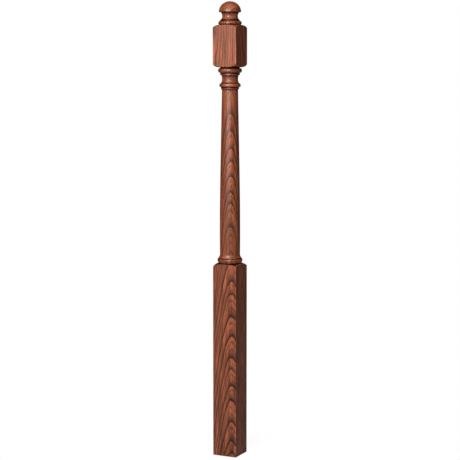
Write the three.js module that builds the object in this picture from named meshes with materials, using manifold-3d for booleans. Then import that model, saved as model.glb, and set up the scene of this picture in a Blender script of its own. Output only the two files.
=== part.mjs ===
// A wooden newel post, turned from one square blank: a square lower block, a tapered shaft
// between two sets of collars, a square upper block for the handrail and a mushroom finial.
// Millimetres, +Z up. The post stands on z = 0 and its axis is the z axis.

import * as THREE from "three";
import { mergeVertices } from "three/addons/utils/BufferGeometryUtils.js";
import Module from "manifold-3d";

// The square blank.
const faceWidth = 83;
const arrisRadius = 2;

// The two lengths left square. Each ends in a shoulder that falls from a crown to the corners.
const lowerBlockHeight = 633;
const upperBlockHeight = 134.3;
const crownInset = 7.5;
const cornerDrop = 10.3;

// A quirk is the narrow groove that parts two mouldings. Each is given by the radius of its
// floor, and the one on the lower block is wider than the others.
const quirkHeight = 1;
const blockQuirkHeight = 1.8;
const blockQuirkRadius = 33.5;
const flareQuirkRadius = 36.4;
const astragalQuirkRadius = 28;
const neckQuirkRadius = 28;
const neckFilletQuirkRadius = 30;
const finialQuirkRadius = 33.5;
const stemQuirkRadius = 28.6;

// The collar on the lower block: a bead with a long sloping underside, and a flare up into the
// shaft.
const collarBead = { lowEdge: 37.2, girth: 40.6, highEdge: 37.6, lowRise: 8.9, highRise: 5.4 };
const flareRadius = 37.6;
const flareHeight = 12.9;

// The shaft swells a little above its foot and then tapers. The two middle values pull the
// curve of its side out and in, as the handles of a cubic curve.
const shaftHeight = 528.5;
const shaftFootRadius = 32.5;
const shaftSwellRadius = 34.4;
const shaftTaperRadius = 28.8;
const shaftTopRadius = 26;

// The astragal at the head of the shaft, on a small flare of its own.
const astragalLipRadius = 27.4;
const astragalLipHeight = 3.7;
const astragalRadius = 29;
const astragalHeight = 5;
const astragalBead = { lowEdge: 29.5, girth: 34.4, highEdge: 30.6, lowRise: 5.2, highRise: 7 };

// The neck: a long cove, a fillet with a crisp lower edge, and the bead under the upper block.
const neckCove = { lowLip: 28.9, waist: 25.9, highLip: 27.5, lowRise: 11.1, highRise: 13.8 };
const neckFilletRadius = 31.5;
const neckFilletHeight = 6.5;
const neckBead = { lowEdge: 31.6, girth: 38.4, highEdge: 32, lowRise: 7.3, highRise: 7.9 };
const neckThroatRadius = 31.4;
const neckThroatHeight = 2.3;

// The finial: a base bead, a fillet, a stem cove and a domed cap.
const finialBead = { lowEdge: 34.8, girth: 37.4, highEdge: 33, lowRise: 5.4, highRise: 5.6 };
const stemFilletRadius = 31.6;
const stemFilletHeight = 3.8;
const stemCove = { lowLip: 29.2, waist: 24.8, highLip: 29.6, lowRise: 10.8, highRise: 12.6 };
const capUndersideRadius = 34.6;
const capRadius = 35.5;
const capLipHeight = 1;
const capDomeHeight = 33.4;

// How finely round forms are faceted.
const turnSegments = 40;
const arrisSegments = 3;
const roundSteps = 4;
const shoulderSteps = 5;
const shaftSteps = 9;
const domeSteps = 9;

// The outline is followed from the foot up, as points of radius and height.
const outline = [];
let height = 0;

function corner(radius) {
  outline.push(new THREE.Vector2(radius, height));
}

// Adds a curve that rises from the present height. Its shape gives radius and height above
// the start for each share of the way, from 0 to 1.
function curve(shape, steps) {
  const start = height;
  for (let step = 0; step <= steps; step += 1) {
    const [radius, rise] = shape(step / steps);
    height = start + rise;
    corner(radius);
  }
}

function quarterTurn(share) {
  return (share * Math.PI) / 2;
}

function mix(from, to, share) {
  return from + (to - from) * share;
}

// A band with a straight side.
function fillet(radius, rise) {
  corner(radius);
  height += rise;
  corner(radius);
}

// A groove with sloping sides that meet at its floor.
function quirk(radius, rise = quirkHeight) {
  height += rise / 2;
  corner(radius);
  height += rise / 2;
}

// A round side that starts level at an edge and ends upright, or the other way round.
function roundOut(edge, girth, rise, steps) {
  curve((share) => {
    const turn = quarterTurn(share);
    return [mix(edge, girth, Math.sin(turn)), rise * (1 - Math.cos(turn))];
  }, steps);
}

function roundIn(girth, edge, rise, steps) {
  curve((share) => {
    const turn = quarterTurn(share);
    return [mix(edge, girth, Math.cos(turn)), rise * Math.sin(turn)];
  }, steps);
}

// A round moulding, widest between its two edges.
function bead({ lowEdge, girth, highEdge, lowRise, highRise }) {
  roundOut(lowEdge, girth, lowRise, roundSteps);
  outline.pop();
  roundIn(girth, highEdge, highRise, roundSteps);
}

// A side that sweeps in from a lip and ends upright, or the other way round.
function sweepIn(lip, waist, rise, steps) {
  curve((share) => [mix(waist, lip, (1 - share) ** 2), rise * share], steps);
}

function sweepOut(waist, lip, rise, steps) {
  curve((share) => [mix(waist, lip, share ** 2), rise * share], steps);
}

// A hollow moulding, narrowest between its two lips.
function cove({ lowLip, waist, highLip, lowRise, highRise }) {
  sweepIn(lowLip, waist, lowRise, roundSteps);
  outline.pop();
  sweepOut(waist, highLip, highRise, roundSteps);
}

function shaft() {
  const side = new THREE.CubicBezierCurve(
    new THREE.Vector2(shaftFootRadius, 0),
    new THREE.Vector2(shaftSwellRadius, shaftHeight / 3),
    new THREE.Vector2(shaftTaperRadius, (shaftHeight * 2) / 3),
    new THREE.Vector2(shaftTopRadius, shaftHeight),
  );
  curve((share) => side.getPoint(share).toArray(), shaftSteps);
}

// The shoulder is an arc that leaves the flat crown inside the face and meets the blank's
// corner. Beyond the corner the outline is clear of the blank.
const crownRadius = faceWidth / 2 - crownInset;
const cornerRadius = faceWidth / Math.SQRT2;
const shoulderRun = cornerRadius - crownRadius;
const shoulderRadius = (shoulderRun ** 2 + cornerDrop ** 2) / (2 * cornerDrop);
const shoulderTurn = Math.atan2(shoulderRun, shoulderRadius - cornerDrop);
const clearRadius = cornerRadius + arrisRadius;

function shoulderPoint(share) {
  const turn = shoulderTurn * share;
  const fall = shoulderRadius * (1 - Math.cos(turn));
  return [crownRadius + shoulderRadius * Math.sin(turn), cornerDrop - fall];
}

function shoulderUp() {
  corner(clearRadius);
  curve((share) => shoulderPoint(1 - share), shoulderSteps);
}

function shoulderDown() {
  curve((share) => {
    const [radius, rise] = shoulderPoint(share);
    return [radius, cornerDrop - rise];
  }, shoulderSteps);
  corner(clearRadius);
}

function lowerBlock() {
  height = -cornerDrop;
  corner(0);
  corner(clearRadius);
  height = lowerBlockHeight - cornerDrop;
  shoulderUp();
}

function upperBlock() {
  shoulderDown();
  height += upperBlockHeight - 2 * cornerDrop;
  shoulderUp();
}

function lowerCollar() {
  quirk(blockQuirkRadius, blockQuirkHeight);
  sweepIn(collarBead.lowEdge, collarBead.girth, collarBead.lowRise, roundSteps);
  outline.pop();
  roundIn(collarBead.girth, collarBead.highEdge, collarBead.highRise, roundSteps);
  quirk(flareQuirkRadius);
  sweepIn(flareRadius, shaftFootRadius, flareHeight, roundSteps);
  outline.pop();
}

function shaftHead() {
  outline.pop();
  sweepOut(shaftTopRadius, astragalLipRadius, astragalLipHeight, roundSteps / 2);
  fillet(astragalRadius, astragalHeight);
  quirk(astragalQuirkRadius);
  bead(astragalBead);
  quirk(neckQuirkRadius);
}

function neck() {
  cove(neckCove);
  fillet(neckFilletRadius, neckFilletHeight);
  quirk(neckFilletQuirkRadius);
  bead(neckBead);
  fillet(neckThroatRadius, neckThroatHeight);
}

function finial() {
  quirk(finialQuirkRadius);
  bead(finialBead);
  fillet(stemFilletRadius, stemFilletHeight);
  quirk(stemQuirkRadius);
  cove(stemCove);
  corner(capUndersideRadius);
  height += capLipHeight;
  roundIn(capRadius, 0, capDomeHeight, domeSteps);
  outline[outline.length - 1].x = 0;
}

lowerBlock();
lowerCollar();
shaft();
shaftHead();
neck();
upperBlock();
finial();

// The blank stands on the ground and reaches the top of the finial.
function blankGeometry(length) {
  const half = faceWidth / 2;
  const inner = half - arrisRadius;
  const square = new THREE.Shape();
  for (let side = 0; side < 4; side += 1) {
    const turn = quarterTurn(side);
    const towards = turn + Math.PI / 4;
    const reach = inner * Math.SQRT2;
    const x = Math.cos(towards) * reach;
    const y = Math.sin(towards) * reach;
    square.absarc(x, y, arrisRadius, turn, turn + Math.PI / 2, false);
  }
  square.closePath();
  return new THREE.ExtrudeGeometry(square, {
    depth: length,
    bevelEnabled: false,
    curveSegments: arrisSegments,
  });
}

function turningGeometry() {
  const turning = new THREE.LatheGeometry(outline, turnSegments);
  return turning.rotateX(Math.PI / 2);
}

const wasm = await Module();
wasm.setup();

// Merges shared vertices and leaves out the flat triangles where the outline meets the axis.
function toSolid(geometry) {
  geometry.deleteAttribute("normal");
  geometry.deleteAttribute("uv");
  const merged = mergeVertices(geometry);
  const index = merged.getIndex().array;
  const triangles = [];
  for (let first = 0; first < index.length; first += 3) {
    const [a, b, c] = index.slice(first, first + 3);
    if (a !== b && b !== c && c !== a) {
      triangles.push(a, b, c);
    }
  }
  const mesh = new wasm.Mesh({
    numProp: 3,
    vertProperties: merged.getAttribute("position").array,
    triVerts: Uint32Array.from(triangles),
  });
  return new wasm.Manifold(mesh);
}

function toGeometry(solid) {
  const mesh = solid.getMesh();
  const geometry = new THREE.BufferGeometry();
  geometry.setAttribute("position", new THREE.BufferAttribute(mesh.vertProperties, 3));
  geometry.setIndex(new THREE.BufferAttribute(mesh.triVerts, 1));
  geometry.computeVertexNormals();
  return geometry;
}

const stainedWood = new THREE.MeshStandardMaterial({
  color: 0x7a4631,
  roughness: 0.38,
  metalness: 0,
});

// Turning the blank leaves what lies inside both the square and the turned outline.
const post = toSolid(blankGeometry(height)).intersect(toSolid(turningGeometry()));
const newelPost = new THREE.Mesh(toGeometry(post), stainedWood);
newelPost.name = "newel_post";

const model = new THREE.Group();
model.add(newelPost);

export default model;
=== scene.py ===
import math

import bpy
import numpy as np
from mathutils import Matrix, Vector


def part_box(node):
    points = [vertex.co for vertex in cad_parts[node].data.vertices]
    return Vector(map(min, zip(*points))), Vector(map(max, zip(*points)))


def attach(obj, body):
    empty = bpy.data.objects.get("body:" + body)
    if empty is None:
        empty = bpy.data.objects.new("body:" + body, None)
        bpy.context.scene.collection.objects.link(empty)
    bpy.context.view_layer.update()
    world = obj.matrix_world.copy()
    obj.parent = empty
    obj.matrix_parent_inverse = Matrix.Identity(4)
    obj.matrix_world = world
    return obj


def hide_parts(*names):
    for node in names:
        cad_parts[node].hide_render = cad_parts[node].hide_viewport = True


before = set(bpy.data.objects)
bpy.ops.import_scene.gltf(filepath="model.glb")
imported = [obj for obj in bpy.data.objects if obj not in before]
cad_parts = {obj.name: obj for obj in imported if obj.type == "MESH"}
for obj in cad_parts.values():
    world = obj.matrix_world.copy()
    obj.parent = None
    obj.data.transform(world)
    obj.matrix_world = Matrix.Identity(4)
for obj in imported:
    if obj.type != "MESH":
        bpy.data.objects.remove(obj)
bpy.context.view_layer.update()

# The newel post is one turned piece, so the scene has one finely turned mesh in place of the
# faceted solid. Metres, +Z up, with the same origin as the frame.

MM = 0.001

post_low, post_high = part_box("newel_post")

# The blank's half width comes from the frame. The heights and radii below are in millimetres.
HALF_FACE = (post_high[0] - post_low[0]) / 2 / MM
TOTAL_HEIGHT = (post_high[2] - post_low[2]) / MM
ARRIS_RADIUS = 2
EDGE_EASE = 0.7
EASE_SHARE = 0.4
FOOT_EASE = 0.5
TURNED_EASE = 0.35
LOWER_BLOCK_HEIGHT = 633
UPPER_BLOCK_HEIGHT = 134.3
CROWN_INSET = 7.5
CORNER_DROP = 10.3

# The camera, fitted to the post's corners and rings in the photograph. Its distance and height
# are in metres, its angles in degrees, its lens and sensor in millimetres and the photo in pixels.
CAMERA_DISTANCE = 4.447
CAMERA_AZIMUTH = 26.22
CAMERA_HEIGHT = 1.2436
CAMERA_PITCH = 6.45
CAMERA_LENS = 108.1
SENSOR_WIDTH = 36
PHOTO_SIZE = 460

# The least length to divide by.
TINY = 1e-9


def round_the_post(azimuth, distance, height):
    """A place at an azimuth from the -Y side, turning towards +X."""
    turn = math.radians(azimuth)
    return (math.sin(turn) * distance, -math.cos(turn) * distance, height)


def heights_in_photo(rows, x, y):
    """Heights, in millimetres, of what rows of the photograph show above a place on the plan."""
    turn = math.radians(CAMERA_AZIMUTH)
    reach = CAMERA_DISTANCE / MM - x * math.sin(turn) + y * math.cos(turn)
    focal = CAMERA_LENS / SENSOR_WIDTH * PHOTO_SIZE
    below_centre = np.arctan((np.array(rows) - PHOTO_SIZE / 2) / focal)
    return CAMERA_HEIGHT / MM - reach * np.tan(math.radians(CAMERA_PITCH) + below_centre)


# Profile of the turned lengths

class Outline:
    """Points of radius and height, followed upward."""

    def __init__(self, height):
        self.height = height
        self.points = []
        self.grooves = []

    def corner(self, radius):
        self.points.append((radius, self.height))

    def curve(self, shape, steps):
        start = self.height
        for step in range(steps + 1):
            radius, rise = shape(step / steps)
            self.height = start + rise
            self.corner(radius)

    def fillet(self, radius, rise):
        self.corner(radius)
        self.height += rise
        self.corner(radius)

    def paint_shade(self, strength, rise=0, reach=2):
        """Notes a band of painted shade at a rise from here: how strong it is, and how far it
        reaches.
        """
        self.grooves.append((self.height + rise, strength, reach))

    # A quirk gets a band of painted shade, as strong as its last argument.
    def quirk(self, radius, rise, paint_shade):
        self.height += rise / 2
        self.corner(radius)
        self.paint_shade(paint_shade)
        self.height += rise / 2

    def round_out(self, edge, girth, rise, steps=10):
        def shape(share):
            turn = share * math.pi / 2
            return edge + (girth - edge) * math.sin(turn), rise * (1 - math.cos(turn))
        self.curve(shape, steps)

    def round_in(self, girth, edge, rise, steps=10):
        def shape(share):
            turn = share * math.pi / 2
            return edge + (girth - edge) * math.cos(turn), rise * math.sin(turn)
        self.curve(shape, steps)

    def sweep_in(self, lip, waist, rise, steps=10):
        self.curve(lambda share: (waist + (lip - waist) * (1 - share) ** 2, rise * share), steps)

    def sweep_out(self, waist, lip, rise, steps=10):
        self.curve(lambda share: (waist + (lip - waist) * share ** 2, rise * share), steps)

    def bead(self, low_edge, girth, high_edge, low_rise, high_rise):
        self.round_out(low_edge, girth, low_rise)
        self.points.pop()
        self.round_in(girth, high_edge, high_rise)

    def cove(self, low_lip, waist, high_lip, low_rise, high_rise):
        self.sweep_in(low_lip, waist, low_rise)
        self.points.pop()
        self.sweep_out(waist, high_lip, high_rise)

    def shaft(self, foot, swell, taper, top, rise, steps=60):
        def shape(share):
            rest = 1 - share
            radius = foot * rest ** 3 + 3 * swell * rest ** 2 * share
            radius += 3 * taper * rest * share ** 2 + top * share ** 3
            return radius, rise * share
        self.curve(shape, steps)


def between_blocks():
    """From the crown of the lower block up to the underside of the upper one."""
    line = Outline(LOWER_BLOCK_HEIGHT)
    # Each band noted on this outline is painted shade for the wood's colour, in a quirk or under an
    # overhang.
    line.paint_shade(1)
    line.quirk(radius=33.5, rise=1.8, paint_shade=1)
    line.sweep_in(lip=37.2, waist=40.6, rise=8.9)
    line.points.pop()
    line.round_in(girth=40.6, edge=37.6, rise=5.4)
    line.quirk(radius=36.4, rise=1, paint_shade=1)
    line.sweep_in(lip=37.6, waist=32.5, rise=12.9, steps=14)
    line.points.pop()
    line.shaft(foot=32.5, swell=34.4, taper=28.8, top=26, rise=528.5)
    line.points.pop()
    line.sweep_out(waist=26, lip=27.4, rise=3.7, steps=6)
    line.paint_shade(0.9, rise=-2, reach=1.9)
    line.fillet(radius=29, rise=5)
    line.paint_shade(1, rise=-0.4, reach=2.2)
    line.quirk(radius=28, rise=1, paint_shade=1)
    line.bead(low_edge=29.5, girth=34.4, high_edge=30.6, low_rise=5.2, high_rise=7)
    line.quirk(radius=28, rise=1, paint_shade=1)
    line.paint_shade(0.8, reach=2.4)
    line.cove(low_lip=28.9, waist=25.9, high_lip=27.5, low_rise=11.1, high_rise=13.8)
    line.paint_shade(1, rise=-2.2)
    line.paint_shade(0.25, rise=-5, reach=5)
    line.fillet(radius=31.5, rise=6.5)
    line.quirk(radius=30, rise=1, paint_shade=1)
    line.bead(low_edge=31.6, girth=38.4, high_edge=32, low_rise=7.3, high_rise=7.9)
    line.paint_shade(1, rise=-0.9)
    line.fillet(radius=31.4, rise=2.3)
    line.paint_shade(1)
    return line


def finial(start):
    """From the crown of the upper block to the top of the cap."""
    line = Outline(start)
    # Each band noted on this outline is painted shade for the wood's colour, in a quirk or under an
    # overhang.
    line.quirk(radius=33.5, rise=1, paint_shade=0.7)
    line.bead(low_edge=34.8, girth=37.4, high_edge=33, low_rise=5.4, high_rise=5.6)
    line.paint_shade(0.7, rise=-0.5, reach=1.8)
    line.fillet(radius=31.6, rise=3.8)
    line.quirk(radius=28.6, rise=1, paint_shade=0.9)
    line.cove(low_lip=29.2, waist=24.8, high_lip=29.6, low_rise=10.8, high_rise=12.6)
    line.paint_shade(1, rise=-1.6)
    line.paint_shade(0.4, rise=-1.6, reach=10)
    line.corner(34.6)
    line.height += 1
    line.round_in(girth=35.5, edge=0, rise=TOTAL_HEIGHT - line.height, steps=40)
    line.points.pop()
    return line


def eased(points, ease, sharp=math.radians(32), steps=3, shortest=1e-6):
    """Rounds each sharp corner of an outline with a short curve."""
    points = np.array(points)
    result = [points[0]]
    for before, here, after in zip(points[:-2], points[1:-1], points[2:]):
        inward, outward = here - before, after - here
        lengths = np.hypot(*inward), np.hypot(*outward)
        if min(lengths) < shortest:
            continue
        inward, outward = inward / lengths[0], outward / lengths[1]
        if math.acos(np.clip(inward @ outward, -1, 1)) < sharp:
            result.append(here)
            continue
        reach = min(ease, EASE_SHARE * min(lengths))
        first, last = here - inward * reach, here + outward * reach
        for share in np.linspace(0, 1, steps + 1):
            rest = 1 - share
            result.append(first * rest ** 2 + here * 2 * rest * share + last * share ** 2)
    result.append(points[-1])
    return np.array(result)


# The square lengths

CROWN_RADIUS = HALF_FACE - CROWN_INSET
CORNER_RADIUS = HALF_FACE * math.sqrt(2)
SHOULDER_RUN = CORNER_RADIUS - CROWN_RADIUS
SHOULDER_RADIUS = (SHOULDER_RUN ** 2 + CORNER_DROP ** 2) / (2 * CORNER_DROP)


def blank_radius(angle):
    """Distance from the axis to the side of the eased square blank."""
    turned = (angle + math.pi / 4) % (math.pi / 2) - math.pi / 4
    centre = HALF_FACE - ARRIS_RADIUS
    if abs(math.tan(turned)) * HALF_FACE <= centre:
        return HALF_FACE / math.cos(turned)
    along = centre * (math.cos(turned) + abs(math.sin(turned)))
    return along + math.sqrt(ARRIS_RADIUS ** 2 - 2 * centre ** 2 + along ** 2)


def column_angles(face_steps=40, arris_steps=8, support=0.5):
    """Angles round the post, close together at the arrises."""
    arris = math.atan((HALF_FACE - ARRIS_RADIUS) / HALF_FACE)
    near = math.atan((HALF_FACE - ARRIS_RADIUS - support) / HALF_FACE)
    face = np.linspace(-near, near, face_steps)
    corner = np.linspace(arris, math.pi / 2 - arris, arris_steps, endpoint=False)
    quarter = np.concatenate([face, corner, [math.pi / 2 - arris]])
    return np.concatenate([quarter + side * math.pi / 2 for side in range(4)])


def shoulder(side_radius, steps=10, edge_steps=4):
    """Depths below the crown and radii, from the side's edge in to the crown."""
    turn = math.asin((side_radius - CROWN_RADIUS) / SHOULDER_RADIUS)
    fall = SHOULDER_RADIUS * (1 - math.cos(turn))
    past_edge = turn - EDGE_EASE / SHOULDER_RADIUS
    edge = np.array([side_radius, fall])
    first = edge + (0, EDGE_EASE)
    last = np.array([
        CROWN_RADIUS + SHOULDER_RADIUS * math.sin(past_edge),
        SHOULDER_RADIUS * (1 - math.cos(past_edge)),
    ])
    rows = [(side_radius, fall + 2 * EDGE_EASE)]
    for share in np.linspace(0, 1, edge_steps + 1):
        rest = 1 - share
        rows.append(first * rest ** 2 + edge * 2 * rest * share + last * share ** 2)
    for left in np.linspace(past_edge, 0, steps + 1)[1:]:
        radius = CROWN_RADIUS + SHOULDER_RADIUS * math.sin(left)
        rows.append((radius, SHOULDER_RADIUS * (1 - math.cos(left))))
    return np.array(rows)


# A ring that reaches this far past the crown's radius has the blank's arrises.
ARRIS_MARGIN = 12
LOWER_SIDE_STEPS = 14
UPPER_SIDE_STEPS = 5


def side_rows(radius, low, high, steps):
    heights = np.linspace(low, high, steps + 2)[1:-1]
    return np.column_stack([np.full(steps, radius), heights])


def column(angle, turned, cap):
    """One side line of the post, from the foot's edge to the last ring below the top."""
    side = blank_radius(angle)
    rows = shoulder(side)
    up = np.column_stack([rows[:, 0], -rows[:, 1]])
    down = rows[::-1]
    upper_low = turned.height
    upper_high = upper_low + UPPER_BLOCK_HEIGHT
    foot = np.array([(side - FOOT_EASE, 0), (side, FOOT_EASE), (side, 3 * FOOT_EASE)])
    lower_top = up + (0, LOWER_BLOCK_HEIGHT)
    upper_bottom = down + (0, upper_low)
    upper_top = up + (0, upper_high)
    return np.concatenate([
        foot,
        side_rows(side, foot[-1, 1], lower_top[0, 1], LOWER_SIDE_STEPS),
        lower_top[:-1],
        turned.eased_points,
        upper_bottom[1:],
        side_rows(side, upper_bottom[-1, 1], upper_top[0, 1], UPPER_SIDE_STEPS),
        upper_top[:-1],
        cap.eased_points,
    ])


def turned_mesh():
    """The whole post as rings of points, closed at the foot and at the top."""
    turned = between_blocks()
    cap = finial(turned.height + UPPER_BLOCK_HEIGHT)
    low_crown = (CROWN_RADIUS, LOWER_BLOCK_HEIGHT)
    upper_crown = (CROWN_RADIUS, turned.height)
    turned.eased_points = eased([low_crown, *turned.points, upper_crown], TURNED_EASE)
    high_crown = (CROWN_RADIUS, turned.height + UPPER_BLOCK_HEIGHT)
    cap.eased_points = eased([high_crown, *cap.points], TURNED_EASE)
    angles = column_angles()
    columns = np.array([column(angle, turned, cap) for angle in angles])
    radii, heights = columns[:, :, 0].T, columns[:, :, 1].T
    rings, count = radii.shape
    places = np.stack([radii * np.cos(angles), radii * np.sin(angles), heights], axis=2)
    vertices = np.concatenate([
        places.reshape(-1, 3),
        [(0, 0, 0), (0, 0, TOTAL_HEIGHT)],
    ])
    here = np.arange(rings * count).reshape(rings, count)
    beside = np.roll(here, -1, axis=1)
    quads = np.stack([here[:-1], beside[:-1], beside[1:], here[1:]], axis=2).reshape(-1, 4)
    foot_centre, top = rings * count, rings * count + 1
    foot_fan = np.column_stack([beside[0], here[0], np.full(count, foot_centre)])
    top_fan = np.column_stack([here[-1], beside[-1], np.full(count, top)])
    faces = quads.tolist() + foot_fan.tolist() + top_fan.tolist()
    profile = radii.mean(axis=1), heights.mean(axis=1)
    grooves = turned.grooves + cap.grooves
    # The hollow attribute is painted shade: how shut in each ring is, together with the shade bands
    # noted on the outline.
    hollows = np.repeat(hollow_of(*profile) + painted_shade_share(profile[1], grooves), count)
    # The edge attribute is a painted highlight on convex rings and on the arrises.
    edges = np.repeat(edge_of(*profile)[:, None], count, axis=1)
    square = radii.max(axis=1) > CROWN_RADIUS + ARRIS_MARGIN
    edges = np.maximum(edges, arris_share(angles)[None, :] * square[:, None]).ravel()
    return vertices * MM, faces, np.append(hollows, [0, 0]), np.append(edges, [0, 0])


def hollow_of(radii, heights, reach=14, beside=0.2):
    """How much of its view each ring loses to its neighbours, from 0 in the open to 1."""
    places = np.column_stack([radii, heights])
    tangents = np.gradient(places, axis=0)
    tangents /= np.maximum(np.hypot(*tangents.T), TINY)[:, None]
    hollows = np.zeros(len(places))
    for number, (place, (along_r, along_z)) in enumerate(zip(places, tangents)):
        offsets = places - place
        gaps = np.hypot(*offsets.T)
        near = (gaps > beside) & (gaps < reach)
        along = offsets[near] @ (along_r, along_z)
        out = offsets[near] @ (along_z, -along_r)
        fade = 1 - (gaps[near] / reach) ** 2
        lift = np.maximum(out, 0) / gaps[near] * fade
        above = lift[along > 0].max(initial=0)
        below = lift[along < 0].max(initial=0)
        open_share = (math.sqrt(1 - above ** 2) + math.sqrt(1 - below ** 2)) / 2
        hollows[number] = 1 - open_share
    return hollows


def painted_shade_share(heights, grooves, full=0.35):
    """Bands of painted shade in the quirks and under the overhangs, from 1 at full strength to 0
    clear of them.
    """
    shares = [
        strength * np.clip((1 - np.abs(heights - height) / reach) / (1 - full), 0, 1)
        for height, strength, reach in grooves
    ]
    return np.max(shares, axis=0)


def edge_of(radii, heights, reach=1.6):
    """How sharply the profile turns outward at each ring, from 0 to 1."""
    along = np.concatenate([[0], np.cumsum(np.hypot(np.diff(radii), np.diff(heights)))])

    def beyond(offset):
        lines = [np.interp(along + offset, along, line) for line in (radii, heights)]
        return np.column_stack(lines)

    here = beyond(0)
    coming, going = here - beyond(-reach), beyond(reach) - here
    turn = coming[:, 0] * going[:, 1] - coming[:, 1] * going[:, 0]
    lengths = np.hypot(*coming.T) * np.hypot(*going.T)
    return np.clip(-turn / np.maximum(lengths, TINY), 0, 1)


def arris_share(angles, reach=1.5):
    """1 on the eased arris and 0 beyond its reach along the face."""
    turned = np.abs((np.array(angles) + math.pi / 4) % (math.pi / 2) - math.pi / 4)
    off_arris = HALF_FACE - ARRIS_RADIUS - HALF_FACE * np.tan(turned)
    return np.clip(1 - off_arris / reach, 0, 1)


def area_weighted_normals(vertices, mesh):
    """Normals that large faces decide, so that flats stay flat up to their eased edges."""
    normals = np.zeros_like(vertices)
    for polygon in mesh.polygons:
        normals[list(polygon.vertices)] += np.array(polygon.normal) * polygon.area
    return normals / np.linalg.norm(normals, axis=1, keepdims=True)


def build_post():
    vertices, faces, hollows, edges = turned_mesh()
    mesh = bpy.data.meshes.new("turned_newel_post")
    mesh.from_pydata(vertices.tolist(), [], faces)
    # The hollow attribute carries painted shade and the edge attribute a painted highlight, both
    # for the wood's colour.
    for name, levels in (("hollow", hollows), ("edge", edges)):
        mesh.attributes.new(name, "FLOAT", "POINT").data.foreach_set("value", levels)
    mesh.shade_smooth()
    mesh.normals_split_custom_set_from_vertices(area_weighted_normals(vertices, mesh))
    post = bpy.data.objects.new("turned_newel_post", mesh)
    bpy.context.collection.objects.link(post)
    return post


# Node helpers

class Nodes:
    """Adds nodes to a tree, with each input given as a value or as another node's output."""

    def __init__(self, tree):
        self.tree = tree
        tree.nodes.clear()

    def add(self, kind, inputs=None, output=0, **settings):
        node = self.tree.nodes.new("ShaderNode" + kind)
        for name, value in settings.items():
            setattr(node, name, value)
        for name, value in (inputs or {}).items():
            if isinstance(value, bpy.types.NodeSocket):
                self.tree.links.new(value, node.inputs[name])
            else:
                node.inputs[name].default_value = value
        return node.outputs[output]

    def math(self, operation, *values, clamp=False):
        inputs = dict(enumerate(values))
        return self.add("Math", inputs, operation=operation, use_clamp=clamp)

    def vector(self, operation, *values, output=0):
        inputs = dict(enumerate(values))
        return self.add("VectorMath", inputs, output, operation=operation)

    def map(self, value, low, high, to_low=0.0, to_high=1.0, smooth=True):
        inputs = {0: value, 1: low, 2: high, 3: to_low, 4: to_high}
        kind = "SMOOTHSTEP" if smooth else "LINEAR"
        return self.add("MapRange", inputs, interpolation_type=kind)

    def mix(self, factor, first, second):
        inputs = {0: factor, 2: first, 3: second}
        return self.add("Mix", inputs, data_type="FLOAT")

    def mix_colour(self, factor, first, second):
        inputs = {0: factor, 6: first, 7: second}
        return self.add("Mix", inputs, 2, data_type="RGBA")

    def noise(self, place, cell, detail=2.0):
        """Noise with one cell size in millimetres for each axis."""
        scaled = self.vector("DIVIDE", place, cell)
        inputs = {"Vector": scaled, "Scale": 1.0, "Detail": detail}
        return self.add("TexNoise", inputs)

    def ramp(self, factor, stops):
        """Levels of grey at places from 0 to 1, with a straight run between them."""
        node = self.tree.nodes.new("ShaderNodeValToRGB")
        elements = node.color_ramp.elements
        while len(elements) < len(stops):
            elements.new(0.5)
        for element, (place, level) in zip(elements, stops):
            element.position = place
            element.color = (level, level, level, 1)
        self.tree.links.new(factor, node.inputs[0])
        return node.outputs[0]


# Stained wood
# Every growth line is a surface at a steady distance from the zone's pith, less a rise along
# the post, so it shows as a row of arches. The crest rows are the rows of the photograph, read
# off it, where the arches peak. Lengths are in millimetres, with cells and places as x, y and z.

LOWER_PITH = (26.6, 3.0)
LOWER_RISE = 0.128
LOWER_CREST_ROWS = (441, 422, 400.5, 387, 370, 358.5, 337.5, 317.3, 294.3, 282.3)
LOWER_CREST_DISTANCE = 44.5
LOWER_RING_REACH = (0, 180)
LOWER_FIRST_RING = 0
SHAFT_PITH = (165.0, -291.0)
SHAFT_RISE = 0.115
SHAFT_CREST_ROWS = (253.6, 243.6, 237, 228.2, 203.6, 192.5, 176.2, 161.8, 149.3, 132.1, 114.6)
SHAFT_CREST_RADIUS = 31.5
SHAFT_HEAD_CRESTS = (1186, 1270)
SHAFT_RING_REACH = (340, 525)
SHAFT_FIRST_RING = 11
UPPER_PITH = (-62.0, 34.0)
UPPER_RISE = -0.03
UPPER_KNOT = (-27.0, -41.5, 1365.0)
UPPER_KNOT_SIZE = (19.0, 26.0, 70.0)
UPPER_KNOT_SHIFT = -3.5
UPPER_RING_WIDTH = 6.0
UPPER_WAVE = (2.8, (22, 22, 75))
UPPER_WAVE_OFFSET = (40, 0, 0)
LOWER_ZONE_TOP = (634.0, 662.0)
SHAFT_ZONE_TOP = (1240.0, 1262.0)

# Where the lines weaken, and the strength that is left there.
PITH_FADE, PITH_STRENGTH = (14, 34), 0.55
SHAFT_FOOT_FADE, SHAFT_FOOT_STRENGTH = (725, 765), 0.8
SHAFT_HEAD_FADE, SHAFT_HEAD_STRENGTH = (1100, 1180), 0.65
DOME_FADE, DOME_STRENGTH = (1436, 1446), 0.75

# The drift's layers are an amplitude and a cell. The stops are a share of a ring and a depth.
DRIFT_LAYERS = ((1.6, (60, 60, 260)), (1.0, (14, 14, 70)), (0.45, (1.6, 1.6, 24)))
POROUS_STOPS = (
    (0.0, 0.85), (0.015, 1.0), (0.1, 1.0), (0.2, 0.72), (0.35, 0.36), (0.6, 0.12), (0.98, 0.0),
    (1.0, 0.5),
)
WEAKEST_LINE = 0.88
FINE_LINES = 3.0
FINE_STOPS = ((0.0, 0.7), (0.05, 1.0), (0.25, 0.8), (0.5, 0.15), (0.95, 0.0), (1.0, 0.7))
FINE_BREAK_CELL, FINE_BREAK_RANGE = (9, 9, 60), (0.34, 0.54)
FINE_LINE_DEPTH = 0.75
UPPER_FINE_LINE_DEPTH = 0.35

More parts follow.
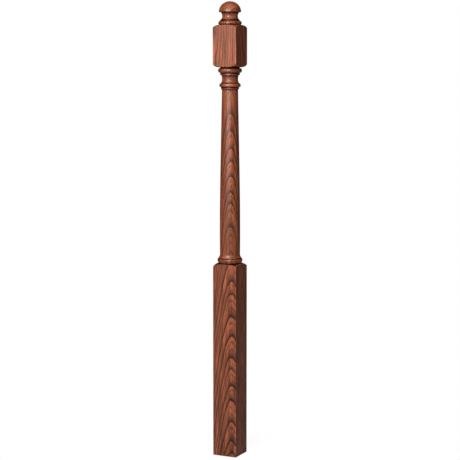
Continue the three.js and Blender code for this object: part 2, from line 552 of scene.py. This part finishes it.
# Cells of the finer figure, the range of the noise that is used, and the levels it is spread to.
PORE_CELL, PORE_RANGE = (0.5, 0.5, 8), (0.55, 0.66)
PORES_IN_DENSE_WOOD = 0.2
PORE_SHADE = 0.4
FIBRE_CELL, FIBRE_RANGE, FIBRE_LEVELS = (3.0, 3.0, 90), (0.36, 0.64), (0.62, 1.34)
STREAK_CELL, STREAK_RANGE, STREAK_LEVELS = (8, 5.5, 170), (0.34, 0.66), (0.76, 1.24)
PATCH_CELL, PATCH_RANGE, PATCH_LEVELS = (34, 34, 130), (0.3, 0.7), (0.88, 1.1)

# Colours and finish. The levels multiply the wood's colour with painted shade in the hollows and a
# painted highlight on the edges.
LIGHT_WOOD = (0.322, 0.0765, 0.0244, 1)
DARK_WOOD = (0.018, 0.0027, 0.0009, 1)
PAINTED_SHADE_RANGE, PAINTED_SHADE_LEVELS = (0.05, 0.9), (1.0, 0.05)
# The edge levels lighten the colour on convex rings and arrises as a painted highlight.
EDGE_HIGHLIGHT_LEVELS = (1.0, 1.35)
COAT_RANGE, COAT_WEIGHTS = (0.15, 0.9), (1.0, 0.2)
LINE_RELIEF, PORE_RELIEF, FIBRE_RELIEF = -0.6, -1.0, 0.35
RELIEF_STRENGTH, RELIEF_HEIGHT = 0.5, 0.06 * MM
STAIN_ROUGHNESS, SHADE_ROUGHNESS = 0.5, 0.1


def away_from(nodes, place, pith):
    """The distance on the plan from a pith."""
    across = nodes.vector("MULTIPLY", place, (1, 1, 0))
    return nodes.vector("DISTANCE", across, (*pith, 0), output=1)


def line_distance(nodes, place, height, pith, rise):
    """The distance that is the same all over one growth line."""
    return nodes.math("MULTIPLY_ADD", height, rise, away_from(nodes, place, pith))


def ring_count(nodes, distance, crests, ring_reach, first):
    """Counts rings along a distance. Beyond the known crests their spacing repeats."""
    low, high = ring_reach
    widths = np.diff(crests)
    marks = list(crests)
    step = 0
    while marks[-1] < high:
        marks.append(marks[-1] + widths[step % len(widths)])
        step += 1
    number = first
    while marks[0] > low:
        number -= 1
        marks.insert(0, marks[0] - widths[(number - first) % len(widths)])
    numbers = np.arange(len(marks)) + number
    ends = np.interp([low, high], marks, numbers)
    inner = [(mark, count) for mark, count in zip(marks, numbers) if low < mark < high]
    points = [(low, ends[0]), *inner, (high, ends[1])]
    share = nodes.map(distance, low, high, smooth=False)
    node = nodes.tree.nodes.new("ShaderNodeFloatCurve")
    curve = node.mapping.curves[0]
    for place, count in points[1:-1]:
        curve.points.new((place - low) / (high - low), (count - ends[0]) / (ends[1] - ends[0]))
    for point in curve.points:
        point.handle_type = "VECTOR"
    node.mapping.update()
    nodes.tree.links.new(share, node.inputs["Value"])
    return nodes.math("MULTIPLY_ADD", node.outputs[0], ends[1] - ends[0], ends[0])


def lower_rings(nodes, place, height, drift):
    """Rings whose arches show on the lower block's front, beside its near arris."""
    distance = line_distance(nodes, place, height, LOWER_PITH, LOWER_RISE)
    heights = heights_in_photo(LOWER_CREST_ROWS, LOWER_PITH[0], -HALF_FACE)
    crests = LOWER_CREST_DISTANCE + heights * LOWER_RISE
    distance = nodes.math("ADD", distance, drift)
    return ring_count(nodes, distance, crests, LOWER_RING_REACH, LOWER_FIRST_RING)


def shaft_rings(nodes, place, height, drift, turned):
    """Rings whose arches show up the middle of the shaft, where it is nearest its pith."""
    distance = line_distance(nodes, place, height, SHAFT_PITH, SHAFT_RISE)
    near_x, near_y, _ = round_the_post(CAMERA_AZIMUTH, SHAFT_CREST_RADIUS, 0)
    heights = np.append(heights_in_photo(SHAFT_CREST_ROWS, near_x, near_y), SHAFT_HEAD_CRESTS)
    profile_radii, profile_heights = np.array(turned.points).T
    near_side = math.hypot(*SHAFT_PITH) - np.interp(heights, profile_heights, profile_radii)
    crests = near_side + heights * SHAFT_RISE
    distance = nodes.math("ADD", distance, drift)
    return ring_count(nodes, distance, crests, SHAFT_RING_REACH, SHAFT_FIRST_RING)


def upper_rings(nodes, place, height, drift):
    """Nearly upright rings in the upper block, which bend round a small knot."""
    distance = line_distance(nodes, place, height, UPPER_PITH, UPPER_RISE)
    wave = wander(nodes, nodes.vector("ADD", place, UPPER_WAVE_OFFSET), UPPER_WAVE)
    from_knot = nodes.vector("SUBTRACT", place, UPPER_KNOT)
    from_knot = nodes.vector("DIVIDE", from_knot, UPPER_KNOT_SIZE)
    near_knot = nodes.map(nodes.vector("LENGTH", from_knot, output=1), 0, 1, 1, 0)
    swirl = nodes.math("MULTIPLY_ADD", near_knot, UPPER_KNOT_SHIFT, wave)
    distance = nodes.math("ADD", distance, nodes.math("ADD", drift, swirl))
    return nodes.math("DIVIDE", distance, UPPER_RING_WIDTH)


def by_zone(nodes, height, lower, shaft, upper):
    """Blends a value of the lower block into the shaft's, and that into the upper block's."""
    both = nodes.mix(nodes.map(height, *LOWER_ZONE_TOP), lower, shaft)
    return nodes.mix(nodes.map(height, *SHAFT_ZONE_TOP), both, upper)


def growth_rings(nodes, place, height, drift, turned):
    """The running count of rings at a place."""
    lower = lower_rings(nodes, place, height, drift)
    shaft = shaft_rings(nodes, place, height, drift, turned)
    upper = upper_rings(nodes, place, height, drift)
    return by_zone(nodes, height, lower, shaft, upper)


def line_strength(nodes, place, height):
    """Weakens the lines by the lower block's pith, at the shaft's two ends and on the dome."""
    lower = nodes.map(away_from(nodes, place, LOWER_PITH), *PITH_FADE, PITH_STRENGTH, 1)
    foot = nodes.map(height, *SHAFT_FOOT_FADE, SHAFT_FOOT_STRENGTH, 1)
    head = nodes.map(height, *SHAFT_HEAD_FADE, 1, SHAFT_HEAD_STRENGTH)
    shaft = nodes.math("MULTIPLY", foot, head)
    upper = nodes.map(height, *DOME_FADE, 1, DOME_STRENGTH)
    return by_zone(nodes, height, lower, shaft, upper)


def wander(nodes, place, *layers):
    """A drift in millimetres, summed from noise layers of an amplitude and a cell size."""
    total = 0.0
    for amplitude, cell in layers:
        noise = nodes.noise(place, cell, detail=2.0)
        centred = nodes.math("SUBTRACT", noise, 0.5)
        total = nodes.math("MULTIPLY_ADD", centred, 2 * amplitude, total)
    return total


def line_depth(nodes, place, height, rings):
    """How dark the growth lines are, and how porous the wood is, at a place in its ring."""
    line = nodes.add("TexWhiteNoise", {"W": nodes.math("FLOOR", rings)}, noise_dimensions="1D")
    strength = nodes.map(line, 0, 1, WEAKEST_LINE, 1.0, smooth=False)
    porous = nodes.ramp(nodes.math("FRACT", rings), POROUS_STOPS)
    depth = nodes.math("MULTIPLY", porous, strength)

    # Between the main lines of growth run fainter ones, broken along their length.
    fine_rings = nodes.math("MULTIPLY", rings, FINE_LINES)
    fine = nodes.ramp(nodes.math("FRACT", fine_rings), FINE_STOPS)
    broken = nodes.map(nodes.noise(place, FINE_BREAK_CELL, detail=1.0), *FINE_BREAK_RANGE)
    fine_depth = nodes.map(height, *SHAFT_ZONE_TOP, FINE_LINE_DEPTH, UPPER_FINE_LINE_DEPTH)
    fine = nodes.math("MULTIPLY", fine, nodes.math("MULTIPLY", broken, fine_depth))
    depth = nodes.math("MAXIMUM", depth, fine)
    return nodes.math("MULTIPLY", depth, line_strength(nodes, place, height)), porous


def open_pores(nodes, place, porous):
    """Pores that crowd in the porous part of each ring and run along the grain."""
    pores = nodes.map(nodes.noise(place, PORE_CELL), *PORE_RANGE)
    crowding = 1 - PORES_IN_DENSE_WOOD
    share = nodes.math("MULTIPLY_ADD", porous, crowding, PORES_IN_DENSE_WOOD)
    return nodes.math("MULTIPLY", pores, share)


def colour_level(nodes, place, fibre, hollow, edge):
    """How light the stain is, from its fibre, streaks and patches, darkened by painted shade in its
    hollows and lightened by a painted highlight on its edges.
    """
    streaks = nodes.noise(place, STREAK_CELL, detail=1.0)
    patches = nodes.noise(place, PATCH_CELL)
    levels = [
        nodes.map(fibre, *FIBRE_RANGE, *FIBRE_LEVELS, smooth=False),
        nodes.map(streaks, *STREAK_RANGE, *STREAK_LEVELS, smooth=False),
        nodes.map(patches, *PATCH_RANGE, *PATCH_LEVELS, smooth=False),
        # Painted shade in the hollows and a painted highlight on the edges.
        nodes.map(hollow, *PAINTED_SHADE_RANGE, *PAINTED_SHADE_LEVELS),
        nodes.map(edge, 0, 1, *EDGE_HIGHLIGHT_LEVELS),
    ]
    total = levels[0]
    for level in levels[1:]:
        total = nodes.math("MULTIPLY", total, level)
    return total


def wood_material(turned):
    material = bpy.data.materials.new("stained_wood")
    material.use_nodes = True
    nodes = Nodes(material.node_tree)
    place = nodes.vector("SCALE", nodes.add("TexCoord", output=3))
    place.node.inputs["Scale"].default_value = 1 / MM
    height = nodes.add("SeparateXYZ", {0: place}, output=2)
    # The hollow attribute is painted shade and the edge attribute a painted highlight.
    hollow = nodes.add("Attribute", output=2, attribute_name="hollow")
    edge = nodes.add("Attribute", output=2, attribute_name="edge")

    # The growth lines wander slowly along the post, and the finest layer frays them.
    drift = wander(nodes, place, *DRIFT_LAYERS)
    rings = growth_rings(nodes, place, height, drift, turned)
    depth, porous = line_depth(nodes, place, height, rings)
    pores = open_pores(nodes, place, porous)
    fibre = nodes.noise(place, FIBRE_CELL, detail=4.0)
    shade = nodes.math("MULTIPLY_ADD", pores, PORE_SHADE, depth, clamp=True)
    colour = nodes.vector("SCALE", nodes.mix_colour(shade, LIGHT_WOOD, DARK_WOOD))
    level = colour_level(nodes, place, fibre, hollow, edge)
    nodes.tree.links.new(level, colour.node.inputs["Scale"])

    # A clear satin varnish lies over the stain, whose own sheen is broad and warm.
    relief = nodes.math("MULTIPLY", pores, PORE_RELIEF)
    relief = nodes.math("MULTIPLY_ADD", depth, LINE_RELIEF, relief)
    relief = nodes.math("MULTIPLY_ADD", fibre, FIBRE_RELIEF, relief)
    bump = nodes.add("Bump", {
        "Height": relief,
        "Strength": RELIEF_STRENGTH,
        "Distance": RELIEF_HEIGHT,
    })
    surface = nodes.add("BsdfPrincipled", {
        "Base Color": colour,
        "Roughness": nodes.math("MULTIPLY_ADD", shade, SHADE_ROUGHNESS, STAIN_ROUGHNESS),
        "IOR": 1.8,
        "Specular IOR Level": 0.74,
        "Specular Tint": (1.0, 0.36, 0.2, 1),
        "Normal": bump,
        "Coat Weight": nodes.map(hollow, *COAT_RANGE, *COAT_WEIGHTS),
        "Coat IOR": 2.0,
        "Coat Roughness": 0.44,
        "Coat Normal": bump,
    })
    output = nodes.tree.nodes.new("ShaderNodeOutputMaterial")
    nodes.tree.links.new(surface, output.inputs["Surface"])
    return material


# Studio, with distances on the floor in millimetres and the rest in metres and watts

PAPER_GRAIN_CELL, PAPER_GRAIN_RANGE, PAPER_LEVELS = (3, 3, 3), (0.3, 0.7), (0.78, 0.8)
SHADOW_FADE = (90, 420)
SHADOW_GREY = (0.08, 0.08, 0.08, 1)
SHADOW_GLOW = 0.93
REFLECTED_FLOOR = (0.06, 0.06, 0.06, 1)
WHITE = (1, 1, 1, 1)
SHED_LIGHT, REFLECTED_LIGHT, SEEN_LIGHT = 0.1, 0.015, 1.0
SHED_COLOUR = (1, 0.99, 0.98, 1)
LAMP_COLOUR = (1, 0.97, 0.93)


def floor_material():
    """White paper that is overlit, with a faint shadow only close to the post."""
    material = bpy.data.materials.new("white_paper")
    material.use_nodes = True
    nodes = Nodes(material.node_tree)
    place = nodes.vector("MULTIPLY", nodes.add("TexCoord", output=3), (1 / MM, 1 / MM, 1 / MM))
    grain = nodes.noise(place, PAPER_GRAIN_CELL)
    level = nodes.map(grain, *PAPER_GRAIN_RANGE, *PAPER_LEVELS, smooth=False)
    tone = nodes.add("CombineColor", {0: level, 1: level, 2: level})
    paper = nodes.add("BsdfDiffuse", {"Color": tone})
    away = nodes.vector("LENGTH", place, output=1)
    far = nodes.map(away, *SHADOW_FADE)
    near = nodes.add("AddShader", {
        0: nodes.add("BsdfDiffuse", {"Color": SHADOW_GREY}),
        1: nodes.add("Emission", {"Color": WHITE, "Strength": SHADOW_GLOW}),
    })
    white = nodes.add("Emission", {"Color": WHITE, "Strength": 1.0})
    lit = nodes.add("MixShader", {0: far, 1: near, 2: white})
    dull = nodes.add("BsdfDiffuse", {"Color": REFLECTED_FLOOR})
    unseen = nodes.add("MixShader", {0: nodes.add("LightPath", output=3), 1: paper, 2: dull})
    surface = nodes.add("MixShader", {0: nodes.add("LightPath"), 1: unseen, 2: lit})
    output = nodes.tree.nodes.new("ShaderNodeOutputMaterial")
    nodes.tree.links.new(surface, output.inputs["Surface"])
    return material


def build_floor(size=30):
    mesh = bpy.data.meshes.new("floor")
    half = size / 2
    corners = [(-half, -half, 0), (half, -half, 0), (half, half, 0), (-half, half, 0)]
    mesh.from_pydata(corners, [], [(0, 1, 2, 3)])
    mesh.materials.append(floor_material())
    floor = bpy.data.objects.new("floor", mesh)
    bpy.context.collection.objects.link(floor)


def build_world():
    """White where the camera sees it, dim for the light it sheds, and dark in reflections."""
    world = bpy.data.worlds.new("studio")
    bpy.context.scene.world = world
    world.use_nodes = True
    nodes = Nodes(world.node_tree)
    soft = nodes.add("Background", {"Color": SHED_COLOUR, "Strength": SHED_LIGHT})
    dark = nodes.add("Background", {"Color": WHITE, "Strength": REFLECTED_LIGHT})
    white = nodes.add("Background", {"Color": WHITE, "Strength": SEEN_LIGHT})
    unseen = nodes.add("MixShader", {0: nodes.add("LightPath", output=3), 1: soft, 2: dark})
    surface = nodes.add("MixShader", {0: nodes.add("LightPath"), 1: unseen, 2: white})
    output = nodes.tree.nodes.new("ShaderNodeOutputWorld")
    nodes.tree.links.new(surface, output.inputs["Surface"])


def aim(thing, place, target):
    thing.location = place
    direction = np.array(target) - np.array(place)
    flat = math.hypot(direction[0], direction[1])
    thing.rotation_euler = (
        math.pi / 2 + math.atan2(direction[2], flat),
        0,
        math.atan2(-direction[0], direction[1]),
    )


def soft_box(name, place, target, width, height, power, reflects=True):
    lamp = bpy.data.lights.new(name, "AREA")
    lamp.shape = "RECTANGLE"
    lamp.size = width
    lamp.size_y = height
    lamp.energy = power
    lamp.color = LAMP_COLOUR
    thing = bpy.data.objects.new(name, lamp)
    bpy.context.collection.objects.link(thing)
    thing.visible_camera = False
    thing.visible_glossy = reflects
    aim(thing, place, target)


def build_lights():
    """Low boxes light the front, and a high one gives the shade under each moulding. A faint one
    stands over the post, and one behind it lights the sides that face away."""
    low = round_the_post(azimuth=6, distance=2.3, height=1.9)
    soft_box("sheen box", low, (0, 0, 1.2), width=1.3, height=0.6, power=32)
    soft_box("low box", low, (0, 0, 1.2), width=1.3, height=0.6, power=28, reflects=False)
    high = round_the_post(azimuth=8, distance=3, height=5)
    soft_box("high box", high, (0, 0, 1), width=1.6, height=1.6, power=150, reflects=False)
    top = round_the_post(azimuth=40, distance=0.6, height=2.9)
    soft_box("top box", top, (0, 0, 1.3), width=1.2, height=1.2, power=3)
    back = round_the_post(azimuth=206, distance=3, height=1.6)
    soft_box("back box", back, (0, 0, 0.8), width=1.6, height=1.6, power=60, reflects=False)


def build_camera():
    lens = bpy.data.cameras.new("camera")
    lens.lens = CAMERA_LENS
    lens.sensor_width = SENSOR_WIDTH
    camera = bpy.data.objects.new("camera", lens)
    bpy.context.collection.objects.link(camera)
    place = round_the_post(CAMERA_AZIMUTH, CAMERA_DISTANCE, CAMERA_HEIGHT)
    drop = CAMERA_DISTANCE * math.tan(math.radians(CAMERA_PITCH))
    aim(camera, place, (0, 0, CAMERA_HEIGHT - drop))
    bpy.context.scene.camera = camera


build_camera()
post = build_post()
post.data.materials.append(wood_material(between_blocks()))
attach(post, "root")
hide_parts("newel_post")
build_floor()
build_world()
build_lights()
bpy.context.scene.view_settings.view_transform = "Standard"
